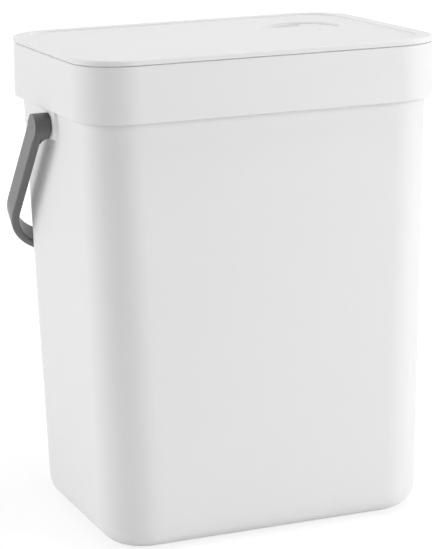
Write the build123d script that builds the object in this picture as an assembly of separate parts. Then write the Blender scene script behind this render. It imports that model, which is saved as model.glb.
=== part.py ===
from build123d import *
import os
from math import asin, atan2, cos, degrees, hypot, radians, sin, tan

# Kitchen compost bin: a tapered tub, a lift-off rim collar that hides the bag, a hinged lid with
# a vent and a charcoal filter, and a bail handle that rests against the back of the tub.
# Millimetres, +Z up, the front faces -Y. The origin is the middle of the tub's underside, on the
# plane that the bin stands on.

# Tub
bin_height = 270.0          # floor to the top of the lid
tub_base_width = 188.7      # left to right, at the floor
tub_base_depth = 137.0      # front to back, at the floor
tub_base_corner = 26.5      # upright corner radius at the floor
tub_rim_corner = 24.0       # upright corner radius at the rim
tub_draft = 1.15            # lean of each wall, degrees
tub_wall = 2.0
tub_floor = 2.4
tub_base_round = 13.8       # rounding where the walls meet the floor
foot_land = 6.0             # width of the ring that the tub stands on
foot_rise = 2.5             # how far the middle of the base is pushed up
foot_corner = 12.0          # corner radius of the pushed-up panel
gate_radius = 8.0           # round boss in the middle of the underside
base_rib = 1.8              # thickness of the ribs from that boss to the ring
bead_width = 1.1            # how far the rim bead stands out of the wall
bead_height = 3.0
bead_round = 0.5

# Rim collar
collar_height = 30.0
collar_draft = 1.3          # it widens downwards, degrees
collar_web = 2.0            # thickness of the flat ring on top
collar_round = 0.7          # rounding of its outer edges
skirt_wall = 2.0
skirt_gap = 0.4             # between the skirt and the tub's rim bead
rim_gap = 0.3               # between the web and the tub's rim
lip_wall = 1.8
lip_height = 14.0           # inner lip that presses the bag to the tub, below the web
bag_gap = 0.8               # room for the bag between lip and tub

# Lid
lid_edge = 3.2              # thickness at the border
lid_gap = 0.2               # shadow gap between lid and collar
lid_overhang = 0.2
lid_corner_round = 1.0      # rounding of the lid's top edge
lid_under_round = 0.8
border_width = 8.6          # raised border round the panel
panel_depth = 1.0
panel_round = 0.4
plug_gap = 0.5              # between the plug rib and the collar's mouth
plug_wall = 1.6
plug_depth = 7.4            # how far the plug rib reaches into the mouth
seal_width = 2.6
seal_depth = 1.5            # depth of the seal's groove
seal_inset = 3.0            # from the lid's edge to the groove
seal_gap = 0.1
seal_round = 0.8            # rounding of the seal's lower edges

# Lid hinge
hinge_spacing = 112.0
hinge_back = 3.7            # from the collar's back edge to the pin
hinge_drop = 1.4            # from the collar's top to the pin
knuckle_radius = 3.2
knuckle_width = 14.0
ear_width = 5.0
ear_gap = 0.4
ear_foot = 9.0              # how far the ear's gusset reaches down the collar
ear_rise = 0.7              # from the pin up to the top of the ear's root
gusset_angle = 30.0         # from straight down to where the gusset leaves the ear, degrees
knuckle_root = 4.3          # how far the knuckle's arm reaches in over the lid's border
pin_radius = 1.5
pin_fit = 0.06
pin_chamfer = 0.3

# Vent and filter
vent_inset = 45.15          # from the collar's right side to the vent's centre
vent_y = 20.0
dish_radius = 22.0
dish_depth = 1.5
dish_round = 0.7
vent_floor = 1.6
slot_width = 1.2
slot_pitch = 3.4
slot_rows = 3
slot_groups = 2
slot_span = 62.0            # angle that each slot covers, degrees
slot_turn = 100.0           # direction of the first group of slots from +X, degrees
slot_edge = 2.6             # from the dish's edge to the outer slot
housing_gap = 1.0           # from the dish's radius to the housing's bore
housing_wall = 1.8
filter_thickness = 7.6
filter_gap = 0.4
cap_gap = 0.4
cap_wall = 1.8
cap_floor = 1.6
cap_round = 0.8
cap_top_gap = 0.6           # from the cap's skirt to the lid's underside
lug_count = 3
lug_width = 4.0
lug_height = 2.0
lug_proud = 1.5
lug_root = 0.9              # how far a lug is sunk into the housing's wall
lug_gap = 0.4
lug_turn = 90.0             # direction of the first lug from +X, degrees
cap_twist = 28.0            # from locked to free, degrees
grip_length = 38.0
grip_width = 4.0
grip_height = 5.0
grip_corner = 1.3
grip_round = 1.0
hole_radius = 2.0
inner_hole_ring = 8.0
outer_hole_ring = 17.0
inner_hole_count = 6
outer_hole_count = 16

# Bail handle
arm_width = 13.0            # the arm's upper end is a half circle of this width
arm_thickness = 4.7
arm_gap = 2.0               # from the collar's widest place to the arm
arm_round = 1.3
boss_radius = 8.0
boss_blend = 3.2            # concave blend from the boss to the arm
boss_gap = 0.8              # from the turning boss to the collar's lower edge
bend_radius = 39.3          # inside the bends beside the crossbar
sweep_gap = 17.4            # from the lid's back corner to the crossbar's path
rest_gap = 0.3              # from the crossbar to the tub's wall
pad_proud = 2.3             # how far the pivot pad stands out of the wall
pad_width = 20.0
pad_drop = 7.5              # from the pivot down to the pad's lower edge
pad_corner = 6.0
pad_round = 1.2
pad_taper = 25.0            # degrees
pivot_gap = 0.3             # between the handle's boss and the pad
stud_radius = 4.0
stud_fit = 0.08
head_proud = 1.1            # how far the stud's head stands out of its shaft
head_length = 2.6
head_rim = 0.9              # straight part of the head, behind the wall
head_slot = 1.4
split_depth = 4.6           # how far the slot runs along the stud, each way from the wall
stud_root = 1.0             # how far the stud is sunk into the boss

# Modelling
overcut = 1.0               # how far a cutting block passes the face that it cuts
near = 0.01                 # how close an edge lies to the height by which it is picked

# Heights, from the top down
lid_under = bin_height - lid_edge
panel_top = bin_height - panel_depth
collar_top = lid_under - lid_gap
collar_bottom = collar_top - collar_height
web_under = collar_top - collar_web
tub_height = web_under - rim_gap
lip_bottom = web_under - lip_height
pivot_z = collar_bottom - boss_gap - boss_radius
pad_top = collar_bottom - pivot_gap

# Outlines that the pieces share
tub_spread = tan(radians(tub_draft))
collar_spread = tan(radians(collar_draft))
rim_growth = 2 * (tub_height * tub_spread + bead_width + skirt_gap + skirt_wall)
collar_width = tub_base_width + rim_growth
collar_depth = tub_base_depth + rim_growth
collar_corner = tub_rim_corner + bead_width + skirt_gap + skirt_wall
lip_inset = tub_wall + bag_gap

# Places of the hinge, the filter and the handle
hinge_y = collar_depth / 2 + hinge_back
hinge_z = collar_top - hinge_drop
lid_back = collar_depth / 2 + lid_overhang
vent_x = collar_width / 2 - vent_inset
housing_bore = dish_radius + housing_gap
housing_radius = housing_bore + housing_wall
vent_under = panel_top - dish_depth - vent_floor
filter_top = vent_under - filter_gap
filter_bottom = filter_top - filter_thickness
cap_bore = housing_radius + cap_gap
cap_radius = cap_bore + cap_wall
cap_inside = filter_bottom - filter_gap
cap_under = cap_inside - cap_floor
lug_z = (lid_under + cap_inside) / 2
wall_at_pivot = tub_base_width / 2 + pivot_z * tub_spread
pad_face = wall_at_pivot + pad_proud
boss_face = pad_face + pivot_gap
arm_inside = collar_width / 2 + collar_height * collar_spread + arm_gap
arm_outside = arm_inside + arm_thickness
handle_reach = hypot(hinge_y + knuckle_radius, bin_height - pivot_z) + sweep_gap


def rest_angle():
    """How far the handle leans back from straight down when its crossbar meets the tub's wall."""
    half = arm_width / 2
    along = handle_reach + half * tub_spread
    aside = handle_reach * tub_spread - half
    reach = tub_base_depth / 2 + rest_gap + pivot_z * tub_spread
    return degrees(asin(reach / hypot(along, aside)) - atan2(aside, along))


def tub_section(z, inset=0.0):
    """The tub's outline at a height, moved inwards by inset."""
    corner = tub_base_corner + (tub_rim_corner - tub_base_corner) * z / tub_height
    growth = 2 * (z * tub_spread - inset)
    outline = RectangleRounded(tub_base_width + growth, tub_base_depth + growth, corner - inset)
    return Plane.XY.offset(z) * outline


def collar_section(z, inset=0.0):
    """The collar's outline at a height: it widens downwards from its top edge."""
    growth = (collar_top - z) * collar_spread - inset
    outline = RectangleRounded(
        collar_width + 2 * growth, collar_depth + 2 * growth, collar_corner + growth
    )
    return Plane.XY.offset(z) * outline


def lid_section(z, inset=0.0):
    """The lid's outline, moved inwards by inset."""
    growth = lid_overhang - inset
    outline = RectangleRounded(
        collar_width + 2 * growth, collar_depth + 2 * growth, collar_corner + growth
    )
    return Plane.XY.offset(z) * outline


def ring(outer, inner, height):
    """A band between two outlines that lie at one height."""
    return extrude(outer, amount=height) - extrude(inner, amount=height)


def tub_cavity():
    """The room inside the tub, with the rounded corner between walls and floor."""
    top = tub_height + overcut
    room = loft([tub_section(tub_floor, tub_wall), tub_section(top, tub_wall)], ruled=True)
    floor_edges = room.faces().sort_by(Axis.Z)[0].edges()
    return fillet(floor_edges, tub_base_round - tub_wall)


def base_panel(z, margin, height):
    """A block with the outline of the pushed-up panel, grown by margin."""
    edge = tub_base_round + foot_land - margin
    outline = RectangleRounded(
        tub_base_width - 2 * edge, tub_base_depth - 2 * edge, foot_corner + margin
    )
    return extrude(Plane.XY.offset(z) * outline, amount=height)


def base_ribs():
    """The gate boss and the cross of ribs that stiffen the pushed-up panel."""
    long_rib = Box(tub_base_width - 2 * tub_base_round - foot_land, base_rib, foot_rise)
    short_rib = Box(base_rib, tub_base_depth - 2 * tub_base_round - foot_land, foot_rise)
    boss = Cylinder(gate_radius, foot_rise)
    return Pos(0, 0, foot_rise / 2) * (long_rib + short_rib + boss)


def pivot_pad(side):
    """The thick pad under the collar that carries the handle's stud."""
    pad_bottom = pivot_z - pad_drop
    profile = Pos(0, (pad_top + pad_bottom) / 2) * Rectangle(pad_width, pad_top - pad_bottom)
    profile = fillet(profile.vertices().sort_by(Axis.Y)[0:2], pad_corner)
    depth = pad_proud + tub_wall
    pad = extrude(Plane.YZ.offset(pad_face) * profile, amount=-depth, taper=-pad_taper)
    above = Box(2 * arm_outside, 2 * pad_width, 2 * boss_radius)
    pad = pad - Pos(0, 0, pad_top + boss_radius) * above
    pad = fillet(pad.faces().sort_by(Axis.X)[-1].edges(), pad_round)
    return pad if side > 0 else mirror(pad, Plane.YZ)


def make_tub():
    shell = loft([tub_section(0), tub_section(tub_height)], ruled=True)
    shell = fillet(shell.faces().sort_by(Axis.Z)[0].edges(), tub_base_round)
    bead_outline = collar_section(collar_top, skirt_wall + skirt_gap)
    bead = extrude(Pos(0, 0, tub_height - bead_height - collar_top) * bead_outline, amount=bead_height)
    bead = fillet(bead.faces().sort_by(Axis.Z)[-1].edges(), bead_round)
    shell = shell + bead + pivot_pad(1) + pivot_pad(-1)
    room = tub_cavity() - base_panel(0, tub_floor, foot_rise + tub_floor)
    hollow = base_panel(-overcut, 0, foot_rise + overcut)
    bore = Pos(0, 0, pivot_z) * Rot(0, 90, 0) * Cylinder(stud_radius + stud_fit, 2 * arm_outside)
    return shell - room - hollow - bore + base_ribs()


def hinge_places():
    return [-hinge_spacing / 2, hinge_spacing / 2]


def across(profile, x_from, width):
    """A profile drawn in the YZ plane, extruded along X."""
    return extrude(Plane.YZ.offset(x_from) * profile, amount=width)


def hinge_bore(radius):
    return Pos(0, hinge_y, hinge_z) * Rot(0, 90, 0) * Cylinder(radius, collar_width)


def ear_profile():
    """A hinge ear from the side: a round end on a gusset that runs down the collar's back."""
    wall = collar_depth / 2 - skirt_wall / 2
    turn = radians(gusset_angle)
    gusset = make_face(
        Polyline(
            (wall, hinge_z + ear_rise),
            (wall, hinge_z - ear_foot),
            (hinge_y + knuckle_radius * sin(turn), hinge_z - knuckle_radius * cos(turn)),
            (hinge_y, hinge_z + ear_rise),
            close=True,
        )
    )
    return gusset + Pos(hinge_y, hinge_z) * Circle(knuckle_radius)


def make_collar():
    body = loft([collar_section(collar_bottom), collar_section(collar_top)], ruled=True)
    body = fillet(body.faces().sort_by(Axis.Z)[-1].edges(), collar_round)
    body = fillet(body.faces().sort_by(Axis.Z)[0].edges(), collar_round)
    under = loft(
        [collar_section(collar_bottom - overcut, skirt_wall), collar_section(web_under, skirt_wall)],
        ruled=True,
    )
    lip_outline = tub_section(lip_bottom, lip_inset)
    mouth_outline = tub_section(lip_bottom, lip_inset + lip_wall)
    under = under - extrude(lip_outline, amount=lip_height + overcut)
    mouth = extrude(mouth_outline, amount=collar_top - lip_bottom + overcut)
    mouth = mouth + extrude(mouth_outline, amount=collar_bottom - lip_bottom - overcut)
    body = body - under - mouth
    for x in hinge_places():
        for side in (-1, 1):
            inner = x + side * (knuckle_width / 2 + ear_gap)
            ear_start = inner if side > 0 else inner - ear_width
            body = body + across(ear_profile(), ear_start, ear_width)
    return body - hinge_bore(pin_radius + pin_fit)


def knuckle_profile():
    """A lid knuckle from the side: it reaches over the collar's back edge to the pin."""
    root = lid_back - knuckle_root
    turn = radians(gusset_angle)
    return make_face(
        Polyline(
            (root, lid_under),
            (root, panel_top),
            (lid_back - lid_corner_round, panel_top),
            (hinge_y + knuckle_radius * sin(turn), hinge_z + knuckle_radius * cos(turn)),
            (hinge_y, hinge_z),
            (hinge_y - knuckle_radius, hinge_z),
            (hinge_y - knuckle_radius, lid_under),
            close=True,
        )
    ) + Pos(hinge_y, hinge_z) * Circle(knuckle_radius)


def arc_slot(radius, width, span, middle, bottom, height):
    """A curved block about the vent's centre, to cut away or to add."""
    profile = Pos(radius, bottom + height / 2) * Rectangle(width, height)
    block = revolve(Plane.XZ * profile, Axis.Z, revolution_arc=span)
    return Pos(vent_x, vent_y, 0) * Rot(0, 0, middle - span / 2) * block


def vent_slots():
    """Facing groups of curved slots in the dish's floor."""
    slots = []
    bottom = vent_under - overcut
    height = vent_floor + 2 * overcut
    for row in range(slot_rows):
        radius = dish_radius - slot_edge - row * slot_pitch
        for group in range(slot_groups):
            middle = slot_turn + 360 / slot_groups * group
            slots.append(arc_slot(radius, slot_width, slot_span, middle, bottom, height))
    return slots


def round_block(radius, bottom, top):
    """A disc about the vent's centre, between two heights."""
    return Pos(vent_x, vent_y, (bottom + top) / 2) * Cylinder(radius, top - bottom)


def lug_angles():
    return [lug_turn + 360 / lug_count * number for number in range(lug_count)]


def make_lid():
    plate = extrude(lid_section(lid_under), amount=lid_edge)
    plate = fillet(plate.faces().sort_by(Axis.Z)[-1].edges(), lid_corner_round)
    plate = fillet(plate.faces().sort_by(Axis.Z)[0].edges(), lid_under_round)
    plate = plate - extrude(lid_section(panel_top, border_width), amount=panel_depth + overcut)
    panel_edges = plate.edges().filter_by_position(Axis.Z, panel_top - near, panel_top + near)
    plate = fillet(panel_edges, panel_round)
    plug_inset = lip_inset + lip_wall + plug_gap
    plug_bottom = collar_top - plug_depth
    plug_outer = Pos(0, 0, plug_bottom - lip_bottom) * tub_section(lip_bottom, plug_inset)
    plug_inner = Pos(0, 0, plug_bottom - lip_bottom) * tub_section(lip_bottom, plug_inset + plug_wall)
    plate = plate + ring(plug_outer, plug_inner, lid_under - plug_bottom)
    for x in hinge_places():
        plate = plate + across(knuckle_profile(), x - knuckle_width / 2, knuckle_width)
    groove_outer = lid_section(lid_under, seal_inset)
    groove_inner = lid_section(lid_under, seal_inset + seal_width + 2 * seal_gap)
    plate = plate - ring(groove_outer, groove_inner, seal_depth)
    plate = plate - hinge_bore(pin_radius + pin_fit)
    housing = round_block(housing_radius, cap_inside + filter_gap, lid_under)
    plate = plate + housing - round_block(housing_bore, cap_inside - overcut, vent_under)
    dish = round_block(dish_radius, panel_top - dish_depth, panel_top + overcut)
    plate = plate - dish
    rim_edges = [
        edge
        for edge in plate.edges().filter_by(GeomType.CIRCLE).filter_by_position(
            Axis.Z, panel_top - near, panel_top + near
        )
        if abs(edge.radius - dish_radius) < dish_round
    ]
    plate = fillet(rim_edges, dish_round)
    lug_middle = housing_radius + (lug_proud - lug_root) / 2
    lug_arc = degrees(lug_width / housing_radius)
    lug_bottom = lug_z - lug_height / 2
    for angle in lug_angles():
        plate = plate + arc_slot(lug_middle, lug_proud + lug_root, lug_arc, angle, lug_bottom, lug_height)
    for slot in vent_slots():
        plate = plate - slot
    return plate


def make_seal():
    """The soft ring in the lid's groove that closes on the collar."""
    outer = lid_section(collar_top + seal_gap, seal_inset + seal_gap)
    inner = lid_section(collar_top + seal_gap, seal_inset + seal_gap + seal_width)
    seal = ring(outer, inner, lid_gap + seal_depth - 2 * seal_gap)
    return fillet(seal.faces().sort_by(Axis.Z)[0].edges(), seal_round)


def make_hinge_pin(x):
    length = knuckle_width + 2 * (ear_gap + ear_width)
    pin = Cylinder(pin_radius, length)
    pin = chamfer(pin.edges().filter_by(GeomType.CIRCLE), pin_chamfer)
    return Pos(x, hinge_y, hinge_z) * Rot(0, 90, 0) * pin


def make_filter():
    pad = round_block(housing_bore - filter_gap, filter_bottom, filter_top)
    return chamfer(pad.edges().filter_by(GeomType.CIRCLE), filter_gap)


def bayonet_slot(angle):
    """An L-shaped way for one lug: down from the cap's edge, then round to the locked place."""
    margin = degrees(lug_gap / cap_bore)
    half = degrees(lug_width / housing_radius) / 2 + margin
    radius = (cap_bore + cap_radius) / 2
    width = 2 * cap_wall
    bottom = lug_z - lug_height / 2 - lug_gap
    run_middle = angle - cap_twist / 2
    run = arc_slot(radius, width, cap_twist + 2 * half, run_middle, bottom, lug_height + 2 * lug_gap)
    entry = arc_slot(radius, width, 2 * half, angle - cap_twist, bottom, lid_under - bottom)
    return run + entry


def make_filter_cap():
    """The twist-off cup that holds the charcoal pad up in its housing."""
    cup = round_block(cap_radius, cap_under, lid_under - cap_top_gap)
    cup = cup - round_block(cap_bore, cap_inside, lid_under)
    cup = fillet(cup.faces().sort_by(Axis.Z)[0].edges(), cap_round)
    for angle in lug_angles():
        cup = cup - bayonet_slot(angle)
    holes = [(inner_hole_ring, inner_hole_count), (outer_hole_ring, outer_hole_count)]
    for ring_radius, count in holes:
        for place in PolarLocations(ring_radius, count):
            hole = Cylinder(hole_radius, 2 * (cap_floor + overcut))
            cup = cup - Pos(vent_x, vent_y, cap_under) * place * hole
    grip = Box(grip_length, grip_width, grip_height + cap_floor)
    grip = fillet(grip.edges().filter_by(Axis.Z), grip_corner)
    grip = fillet(grip.faces().sort_by(Axis.Z)[0].edges(), grip_round)
    grip_z = cap_inside - (grip_height + cap_floor) / 2
    return cup + Pos(vent_x, vent_y, grip_z) * grip


def arm_profile():
    """The handle from the side, hanging straight down from its pivot at the origin."""
    length = handle_reach + arm_thickness
    return Pos(0, -length / 2) * Rectangle(arm_width, length) + Circle(arm_width / 2)


def bail_face(half_width, bottom, radius):
    """The handle's outline from the front, with rounded lower corners."""
    top = boss_radius
    outline = Pos(0, (top + bottom) / 2) * Rectangle(2 * half_width, top - bottom)
    lower = outline.vertices().sort_by(Axis.Y)[0:2]
    return fillet(lower, radius)


def boss_and_stud():
    """The inward boss with its blend, the stud through the tub's wall and its split snap head."""
    head_face = wall_at_pivot - tub_wall - pivot_gap
    head_end = head_face - head_length
    head_radius = stud_radius + head_proud
    disc = Pos((boss_face + arm_outside) / 2, 0) * Rectangle(arm_outside - boss_face, 2 * boss_radius)
    flare = Pos(arm_inside - boss_blend / 2, 0) * Rectangle(boss_blend, 2 * (boss_radius + boss_blend))
    for side in (-1, 1):
        flare = flare - Pos(arm_inside - boss_blend, side * (boss_radius + boss_blend)) * Circle(boss_blend)
    above_axis = Pos(arm_outside, 2 * boss_radius) * Rectangle(2 * arm_outside, 4 * boss_radius)
    boss = revolve(Plane.XY * ((disc + flare) & above_axis), Axis.X)
    shaft = make_face(
        Polyline(
            (boss_face + stud_root, 0),
            (boss_face + stud_root, stud_radius),
            (head_face, stud_radius),
            (head_face, head_radius),
            (head_face - head_rim, head_radius),
            (head_end, stud_radius - head_proud),
            (head_end, 0),
            close=True,
        )
    )
    stud = revolve(Plane.XY * shaft, Axis.X)
    split = Pos(head_face, 0, 0) * Box(2 * split_depth, head_slot, 2 * (head_radius + overcut))
    return boss, stud - split


def make_handle():
    bottom = -handle_reach - arm_thickness
    outer = bail_face(arm_outside, bottom, bend_radius + arm_thickness)
    inner = bail_face(arm_inside, -handle_reach, bend_radius)
    inner = inner + Pos(0, boss_radius) * Rectangle(2 * arm_inside, 2 * boss_radius)
    bail = extrude(Plane.XZ * (outer - inner), amount=boss_radius, both=True)
    side = extrude(Plane.YZ * arm_profile(), amount=arm_outside + overcut, both=True)
    bail = bail & side
    edges = bail.edges().filter_by(Axis.Y, reverse=True)
    edges = [edge for edge in edges if edge.length > arm_thickness + arm_round]
    bail = fillet(edges, arm_round)
    boss, stud = boss_and_stud()
    pivot = (boss & side) + stud
    bail = bail + pivot + mirror(pivot, Plane.YZ)
    return Pos(0, 0, pivot_z) * Rot(rest_angle(), 0, 0) * bail


def write(name, shape):
    export_step(shape, f"parts/{name}.step")


os.makedirs("parts", exist_ok=True)
write("tub", make_tub())
write("rim_collar", make_collar())
write("lid", make_lid())
write("lid_seal", make_seal())
write("hinge_pin_left", make_hinge_pin(-hinge_spacing / 2))
write("hinge_pin_right", make_hinge_pin(hinge_spacing / 2))
write("filter_cap", make_filter_cap())
write("carbon_filter", make_filter())
write("handle", make_handle())
print("handle leans back", rest_angle(), "degrees, pivot height", pivot_z, "reach", handle_reach)
print("hinge axis y, z", hinge_y, hinge_z, "collar", collar_width, collar_depth)
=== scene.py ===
import math

import bpy
from mathutils import Matrix, Vector


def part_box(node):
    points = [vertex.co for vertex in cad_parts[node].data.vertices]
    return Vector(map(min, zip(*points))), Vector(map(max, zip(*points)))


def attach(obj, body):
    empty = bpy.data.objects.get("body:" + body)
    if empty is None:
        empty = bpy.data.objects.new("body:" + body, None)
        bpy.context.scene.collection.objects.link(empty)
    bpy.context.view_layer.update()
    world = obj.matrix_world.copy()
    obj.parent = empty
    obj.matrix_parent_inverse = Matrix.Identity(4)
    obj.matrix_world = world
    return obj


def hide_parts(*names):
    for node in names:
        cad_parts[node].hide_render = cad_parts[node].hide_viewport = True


# Looks for the kitchen compost bin. Metres, +Z up, the front faces -Y. The CAD nodes are shown as
# they are, apart from the charcoal pad, which is a soft piece made here.

# Camera, fitted to the photograph's edges
CAMERA_PLACE = Vector((-0.45429, -1.15087, 0.41839))
CAMERA_FORWARD = Vector((0.35566149, 0.90723389, -0.22456976))
CAMERA_UP = Vector((0.10402873, 0.20035979, 0.97418375))
CAMERA_LENS = 146.31
CAMERA_SENSOR = 36.0

# Light
WORLD_LEVEL = 0.28
LEFT_LAMP_PLACE = Vector((-2.17, 0.80, 0.60))
LEFT_LAMP_POWER = 30.6
LEFT_LAMP_SIZE = 1.7
RIGHT_LAMP_PLACE = Vector((1.17, -1.06, 0.45))
RIGHT_LAMP_POWER = 15.0
TOP_LAMP_PLACE = Vector((0.2, -0.08, 1.9))
TOP_LAMP_POWER = 14.1
BACK_LAMP_PLACE = Vector((0.2, 1.9, 0.45))
BACK_LAMP_POWER = 5.0
LAMP_SIZE = 1.1
LAMP_TARGET = Vector((0.0, 0.0, 0.14))

# Floor
FLOOR_RADIUS = 6.0
FLOOR_SEGMENTS = 96
FLOOR_COLOUR = 0.94
FLOOR_WHITE = 1.15          # what the camera sees in place of most of the lit floor
FLOOR_SHARE = 0.65          # how much of it, near the bin
FLOOR_NEAR = 0.35           # from here outwards the lit floor fades out of the camera's view
FLOOR_FAR = 0.90

# Colours as they are seen, from 0 to 1 in sRGB
WHITE_COLOUR = (0.925, 0.925, 0.926)
GREY_COLOUR = (0.392, 0.393, 0.390)
SEAL_COLOUR = (0.60, 0.61, 0.61)
STEEL_COLOUR = (0.70, 0.70, 0.69)
CHARCOAL_COLOUR = (0.13, 0.13, 0.135)

# Moulded plastic. A noise is its scale, its detail and at times its roughness. A bump is its
# height in metres and its strength.
WHITE_ROUGHNESS = 0.58
WHITE_MOTTLE = 0.004
WHITE_GRAIN = (0.0003, 0.00002)     # size and height, metres
GREY_ROUGHNESS = 0.36
GREY_MOTTLE = 0.008
GREY_GRAIN = (0.0004, 0.00003)
PLASTIC_SPECULAR = 0.40
PLASTIC_CLOUD = (22.0, 3.0)
PLASTIC_SHEEN = (60.0, 4.0)
PLASTIC_SHEEN_SPREAD = 0.05
PLASTIC_WAVE = (16.0, 1.0)
PLASTIC_WAVE_BUMP = (0.0004, 0.25)
PLASTIC_GRAIN_DETAIL = 2.0
PLASTIC_GRAIN_STRENGTH = 0.5

# Seal rubber
RUBBER_BLOOM = (180.0, 5.0, 0.6)
RUBBER_MOTTLE = 0.025
RUBBER_ROUGHNESS = (0.62, 0.74)
RUBBER_DEPTH = (0.08, 0.001)        # share of light that goes in, and how far, metres
RUBBER_GRAIN = (3000.0, 2.0)
RUBBER_BUMP = (0.00003, 0.4)

# Drawn steel
STEEL_STRETCH = (0.02, 1.0, 1.0)
STEEL_LINES = (6000.0, 3.0)
STEEL_DARKER = -0.05
STEEL_LIGHTER = 0.03
STEEL_ROUGHNESS = (0.22, 0.38)
STEEL_BUMP = (0.00002, 0.4)

# Charcoal felt
FELT_FIBRES = (900.0, 6.0, 0.7)
FELT_DARKER = -0.07
FELT_LIGHTER = 0.10
FELT_ROUGHNESS = 0.96
FELT_SPECULAR = 0.15
FELT_SHEEN = (0.25, 0.6)            # weight and roughness
FELT_PIT_SCALE = 420.0
FELT_PIT_BUMP = (0.0006, 0.7)
FELT_FIBRE_BUMP = (0.0004, 0.8)

# Charcoal pad
PAD_SEGMENTS = 96
PAD_RINGS = 14
PAD_CROWN = 0.0004
PAD_EDGE_ROUND = 0.0012
PAD_CORNER_TURNS = (-60, -30, 0)    # degrees from level, where the rounded edge has a ring


def linear(value):
    """A seen sRGB level as the linear level that a shader takes, by the standard curve."""
    return value / 12.92 if value <= 0.04045 else ((value + 0.055) / 1.055) ** 2.4


def colour(seen):
    return tuple(linear(value) for value in seen) + (1.0,)


def shade(seen, amount):
    """A colour a little lighter or darker."""
    return tuple(value + amount for value in seen)


class Tree:
    """Short names for making a material's nodes and links."""

    def __init__(self, tree):
        self.tree = tree
        tree.nodes.clear()

    def add(self, kind, **settings):
        node = self.tree.nodes.new(kind)
        for name, value in settings.items():
            setattr(node, name, value)
        return node

    def link(self, source, target):
        self.tree.links.new(source, target)


def material(name):
    made = bpy.data.materials.new(name)
    made.use_nodes = True
    return made, Tree(made.node_tree)


def surface(name):
    """A material, its nodes, the object's own coordinates and a principled shader."""
    made, tree = material(name)
    place = tree.add("ShaderNodeTexCoord").outputs["Object"]
    return made, tree, place, tree.add("ShaderNodeBsdfPrincipled")


def noise(tree, place, scale, detail, roughness=0.5):
    node = tree.add("ShaderNodeTexNoise")
    node.inputs["Scale"].default_value = scale
    node.inputs["Detail"].default_value = detail
    node.inputs["Roughness"].default_value = roughness
    tree.link(place, node.inputs["Vector"])
    return node.outputs["Fac"]


def spread(tree, source, low, high):
    """Maps a 0 to 1 pattern to a range."""
    node = tree.add("ShaderNodeMapRange")
    node.inputs["To Min"].default_value = low
    node.inputs["To Max"].default_value = high
    tree.link(source, node.inputs["Value"])
    return node.outputs["Result"]


def tint(tree, factor, seen, darker, lighter):
    """A seen colour that a pattern makes darker and lighter."""
    node = tree.add("ShaderNodeMix", data_type="RGBA")
    node.inputs["A"].default_value = colour(shade(seen, darker))
    node.inputs["B"].default_value = colour(shade(seen, lighter))
    tree.link(factor, node.inputs["Factor"])
    return node.outputs["Result"]


def bump(tree, height, distance, strength, after=None):
    node = tree.add("ShaderNodeBump")
    node.inputs["Distance"].default_value = distance
    node.inputs["Strength"].default_value = strength
    tree.link(height, node.inputs["Height"])
    if after is not None:
        tree.link(after, node.inputs["Normal"])
    return node.outputs["Normal"]


def finish_with(tree, shader, normal):
    output = tree.add("ShaderNodeOutputMaterial")
    tree.link(normal, shader.inputs["Normal"])
    tree.link(shader.outputs["BSDF"], output.inputs["Surface"])


def moulded_plastic(name, seen, roughness, mottle, grain):
    """Moulded plastic: cloudy flow marks, an eroded tool's fine grain and an uneven sheen."""
    made, tree, place, shader = surface(name)
    cloud = noise(tree, place, *PLASTIC_CLOUD)
    tree.link(tint(tree, cloud, seen, -mottle, mottle), shader.inputs["Base Color"])
    patch = noise(tree, place, *PLASTIC_SHEEN)
    least, most = roughness - PLASTIC_SHEEN_SPREAD, roughness + PLASTIC_SHEEN_SPREAD
    tree.link(spread(tree, patch, least, most), shader.inputs["Roughness"])
    shader.inputs["Specular IOR Level"].default_value = PLASTIC_SPECULAR
    wave = bump(tree, noise(tree, place, *PLASTIC_WAVE), *PLASTIC_WAVE_BUMP)
    grain_size, grain_height = grain
    fine = noise(tree, place, 1.0 / grain_size, PLASTIC_GRAIN_DETAIL)
    finish_with(tree, shader, bump(tree, fine, grain_height, PLASTIC_GRAIN_STRENGTH, after=wave))
    return made


def soft_rubber(name, seen):
    """Seal rubber: matt, with a faint bloom."""
    made, tree, place, shader = surface(name)
    bloom = noise(tree, place, *RUBBER_BLOOM)
    tree.link(tint(tree, bloom, seen, -RUBBER_MOTTLE, RUBBER_MOTTLE), shader.inputs["Base Color"])
    tree.link(spread(tree, bloom, *RUBBER_ROUGHNESS), shader.inputs["Roughness"])
    weight, reach = RUBBER_DEPTH
    shader.inputs["Subsurface Weight"].default_value = weight
    shader.inputs["Subsurface Scale"].default_value = reach
    finish_with(tree, shader, bump(tree, noise(tree, place, *RUBBER_GRAIN), *RUBBER_BUMP))
    return made


def drawn_steel(name, seen):
    """Drawn wire: fine lines along X, the hinge's axis."""
    made, tree, place, shader = surface(name)
    stretch = tree.add("ShaderNodeMapping")
    stretch.inputs["Scale"].default_value = STEEL_STRETCH
    tree.link(place, stretch.inputs["Vector"])
    lines = noise(tree, stretch.outputs["Vector"], *STEEL_LINES)
    tree.link(tint(tree, lines, seen, STEEL_DARKER, STEEL_LIGHTER), shader.inputs["Base Color"])
    shader.inputs["Metallic"].default_value = 1.0
    tree.link(spread(tree, lines, *STEEL_ROUGHNESS), shader.inputs["Roughness"])
    finish_with(tree, shader, bump(tree, lines, *STEEL_BUMP))
    return made


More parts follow.
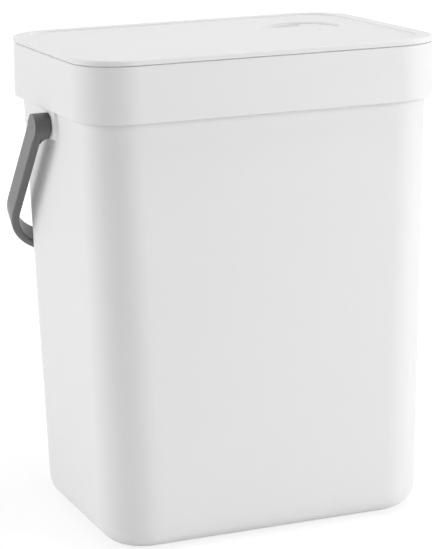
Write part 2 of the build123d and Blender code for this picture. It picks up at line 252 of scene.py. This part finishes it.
def charcoal_felt(name, seen):
    """Needled felt loaded with charcoal: dark fibres, specks and pits."""
    made, tree, place, shader = surface(name)
    fibres = noise(tree, place, *FELT_FIBRES)
    tree.link(tint(tree, fibres, seen, FELT_DARKER, FELT_LIGHTER), shader.inputs["Base Color"])
    shader.inputs["Roughness"].default_value = FELT_ROUGHNESS
    shader.inputs["Specular IOR Level"].default_value = FELT_SPECULAR
    weight, rough = FELT_SHEEN
    shader.inputs["Sheen Weight"].default_value = weight
    shader.inputs["Sheen Roughness"].default_value = rough
    pits = tree.add("ShaderNodeTexVoronoi")
    pits.inputs["Scale"].default_value = FELT_PIT_SCALE
    tree.link(place, pits.inputs["Vector"])
    needled = bump(tree, pits.outputs["Distance"], *FELT_PIT_BUMP)
    finish_with(tree, shader, bump(tree, fibres, *FELT_FIBRE_BUMP, after=needled))
    return made


def seen_directly(tree):
    """1 where the camera looks, also by reflection or through a clear piece."""
    rays = tree.add("ShaderNodeLightPath")
    seen = rays.outputs["Is Camera Ray"]
    for kind in ("Is Glossy Ray", "Is Transmission Ray"):
        either = tree.add("ShaderNodeMath", operation="MAXIMUM")
        tree.link(seen, either.inputs[0])
        tree.link(rays.outputs[kind], either.inputs[1])
        seen = either.outputs["Value"]
    return seen


def mixed(tree, factor, first, second):
    """Two shaders mixed by a factor, where 1 is the second."""
    mix = tree.add("ShaderNodeMixShader")
    tree.link(factor, mix.inputs["Fac"])
    tree.link(first, mix.inputs[1])
    tree.link(second, mix.inputs[2])
    return mix.outputs["Shader"]


def floor_material():
    """A pale floor that catches shadows, shows white to the camera and is clear from below."""
    made, tree = material("floor")
    diffuse = tree.add("ShaderNodeBsdfDiffuse")
    diffuse.inputs["Color"].default_value = (FLOOR_COLOUR, FLOOR_COLOUR, FLOOR_COLOUR, 1.0)
    white = tree.add("ShaderNodeEmission")
    white.inputs["Strength"].default_value = FLOOR_WHITE
    distance = tree.add("ShaderNodeVectorMath", operation="LENGTH")
    tree.link(tree.add("ShaderNodeTexCoord").outputs["Object"], distance.inputs["Vector"])
    fade = tree.add("ShaderNodeMapRange", interpolation_type="SMOOTHSTEP")
    fade.inputs["From Min"].default_value = FLOOR_NEAR
    fade.inputs["From Max"].default_value = FLOOR_FAR
    fade.inputs["To Min"].default_value = FLOOR_SHARE
    tree.link(distance.outputs["Value"], fade.inputs["Value"])
    share = tree.add("ShaderNodeMath", operation="MULTIPLY")
    tree.link(seen_directly(tree), share.inputs[0])
    tree.link(fade.outputs["Result"], share.inputs[1])
    lit = mixed(tree, share.outputs["Value"], diffuse.outputs["BSDF"], white.outputs["Emission"])
    below = tree.add("ShaderNodeNewGeometry").outputs["Backfacing"]
    clear = tree.add("ShaderNodeBsdfTransparent").outputs["BSDF"]
    output = tree.add("ShaderNodeOutputMaterial")
    tree.link(mixed(tree, below, lit, clear), output.inputs["Surface"])
    return made


def make_floor():
    bpy.ops.mesh.primitive_circle_add(
        vertices=FLOOR_SEGMENTS, radius=FLOOR_RADIUS, fill_type="NGON"
    )
    floor = bpy.context.object
    floor.name = "floor"
    floor.data.materials.append(floor_material())


def background(tree, level):
    """A white world shader of one strength."""
    node = tree.add("ShaderNodeBackground")
    node.inputs["Color"].default_value = (1.0, 1.0, 1.0, 1.0)
    node.inputs["Strength"].default_value = level
    return node.outputs["Background"]


def make_world():
    """A pale room, white where the camera and reflections see it."""
    world = bpy.data.worlds.new("room")
    bpy.context.scene.world = world
    world.use_nodes = True
    tree = Tree(world.node_tree)
    light = background(tree, WORLD_LEVEL)
    white = background(tree, 1.0)
    output = tree.add("ShaderNodeOutputWorld")
    tree.link(mixed(tree, seen_directly(tree), light, white), output.inputs["Surface"])


def soft_lamp(name, place, power, size=LAMP_SIZE, highlight=True):
    """A square softbox that looks at the bin, with or without its own reflection."""
    lamp = bpy.data.lights.new(name, "AREA")
    lamp.shape = "SQUARE"
    lamp.size = size
    lamp.energy = power
    holder = bpy.data.objects.new(name, lamp)
    holder.location = place
    holder.rotation_euler = (LAMP_TARGET - place).to_track_quat("-Z", "Y").to_euler()
    holder.visible_camera = False
    holder.visible_glossy = highlight
    bpy.context.scene.collection.objects.link(holder)


def make_camera():
    camera = bpy.data.objects.new("camera", bpy.data.cameras.new("camera"))
    camera.data.lens = CAMERA_LENS
    camera.data.sensor_width = CAMERA_SENSOR
    forward = CAMERA_FORWARD.normalized()
    right = forward.cross(CAMERA_UP).normalized()
    up = right.cross(forward)
    turn = Matrix((right, up, -forward)).transposed()
    camera.matrix_world = Matrix.Translation(CAMERA_PLACE) @ turn.to_4x4()
    bpy.context.scene.collection.objects.link(camera)
    bpy.context.scene.camera = camera


def dress(names, finish):
    """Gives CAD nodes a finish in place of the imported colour."""
    for name in names:
        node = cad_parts[name]
        node.data.materials.clear()
        node.data.materials.append(finish)


def pad_profile(radius, bottom, top):
    """Radius and height of the pad's rings, from the innermost one below to the one above."""
    flat = radius - PAD_EDGE_ROUND
    edge = bottom + PAD_CROWN
    low = []
    for number in range(1, PAD_RINGS + 1):
        share = number / PAD_RINGS
        low.append((flat * share, bottom + PAD_CROWN * share ** 2))
    for degrees in PAD_CORNER_TURNS:
        angle = math.radians(degrees)
        out = PAD_EDGE_ROUND * math.cos(angle)
        rise = PAD_EDGE_ROUND * (1 + math.sin(angle))
        low.append((flat + out, edge + rise))
    return low + [(ring, top + bottom - height) for ring, height in reversed(low)]


def pad_faces(ring_count):
    """Quads between the rings and a fan at each middle, whose two points come after the rings."""
    last_ring = PAD_SEGMENTS * (ring_count - 1)
    lowest = PAD_SEGMENTS * ring_count
    highest = lowest + 1
    faces = []
    for step in range(PAD_SEGMENTS):
        after = (step + 1) % PAD_SEGMENTS
        for start in range(0, last_ring, PAD_SEGMENTS):
            here, side = start + step, start + after
            faces.append((here, side, side + PAD_SEGMENTS, here + PAD_SEGMENTS))
        faces.append((lowest, after, step))
        faces.append((highest, last_ring + step, last_ring + after))
    return faces


def make_pad(finish):
    """The charcoal pad: a felt disc with rounded edges that is a little fuller in the middle."""
    low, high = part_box("carbon_filter")
    centre = (low + high) / 2
    rings = pad_profile((high.x - low.x) / 2, low.z, high.z)
    verts = []
    for radius, height in rings:
        for step in range(PAD_SEGMENTS):
            turn = 2 * math.pi * step / PAD_SEGMENTS
            x = centre.x + radius * math.cos(turn)
            y = centre.y + radius * math.sin(turn)
            verts.append((x, y, height))
    verts += [(centre.x, centre.y, low.z), (centre.x, centre.y, high.z)]
    mesh = bpy.data.meshes.new("charcoal_pad")
    mesh.from_pydata(verts, [], pad_faces(len(rings)))
    mesh.validate()
    pad = bpy.data.objects.new("charcoal_pad", mesh)
    bpy.context.scene.collection.objects.link(pad)
    for polygon in mesh.polygons:
        polygon.use_smooth = True
    mesh.materials.append(finish)
    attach(pad, "filter_cap")
    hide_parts("carbon_filter")


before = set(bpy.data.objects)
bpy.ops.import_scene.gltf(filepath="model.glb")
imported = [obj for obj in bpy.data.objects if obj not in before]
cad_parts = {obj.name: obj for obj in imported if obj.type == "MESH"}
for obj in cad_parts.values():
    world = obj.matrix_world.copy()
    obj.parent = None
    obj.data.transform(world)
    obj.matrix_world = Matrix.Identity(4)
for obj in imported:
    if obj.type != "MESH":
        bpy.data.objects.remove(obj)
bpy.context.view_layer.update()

white_plastic = moulded_plastic(
    "white_plastic", WHITE_COLOUR, WHITE_ROUGHNESS, WHITE_MOTTLE, WHITE_GRAIN
)
grey_plastic = moulded_plastic(
    "grey_plastic", GREY_COLOUR, GREY_ROUGHNESS, GREY_MOTTLE, GREY_GRAIN
)
dress(["tub", "rim_collar", "lid", "filter_cap"], white_plastic)
dress(["handle"], grey_plastic)
dress(["lid_seal"], soft_rubber("seal_rubber", SEAL_COLOUR))
dress(["hinge_pin_left", "hinge_pin_right"], drawn_steel("pin_steel", STEEL_COLOUR))
make_pad(charcoal_felt("charcoal_felt", CHARCOAL_COLOUR))

make_floor()
make_world()
soft_lamp("left_lamp", LEFT_LAMP_PLACE, LEFT_LAMP_POWER, LEFT_LAMP_SIZE)
soft_lamp("right_lamp", RIGHT_LAMP_PLACE, RIGHT_LAMP_POWER)
soft_lamp("top_lamp", TOP_LAMP_PLACE, TOP_LAMP_POWER)
soft_lamp("back_lamp", BACK_LAMP_PLACE, BACK_LAMP_POWER, highlight=False)
make_camera()
bpy.context.scene.view_settings.view_transform = "Standard"
